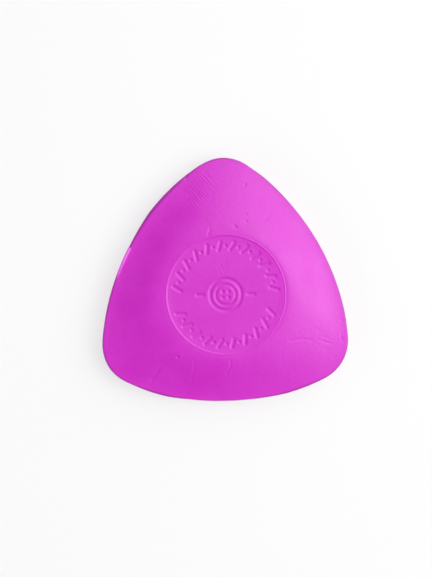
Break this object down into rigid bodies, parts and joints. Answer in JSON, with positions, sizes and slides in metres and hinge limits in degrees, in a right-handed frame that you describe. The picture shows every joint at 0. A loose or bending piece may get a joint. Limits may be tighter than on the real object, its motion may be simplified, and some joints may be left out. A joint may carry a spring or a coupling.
{
  "type": "tailor's chalk",
  "caption": "Triangular tailor's chalk: one pressed cake, thick in the middle, with hollow faces that thin out to a bowed drawing edge and a round sunk stamp seat on top.",
  "frame": {"origin": "middle of the flat round land of the plain face, which the chalk lies on, on the axis of its threefold outline", "axes": "+Z out of the stamped face, +Y towards one of the three tips, +X to the right when that tip points up"},
  "size_m": [0.051, 0.05, 0.006],
  "materials": {
    "chalk": "satin"
  },
  "bodies": {
    "root": {"chalk": "chalk"}
  },
  "joints": []
}
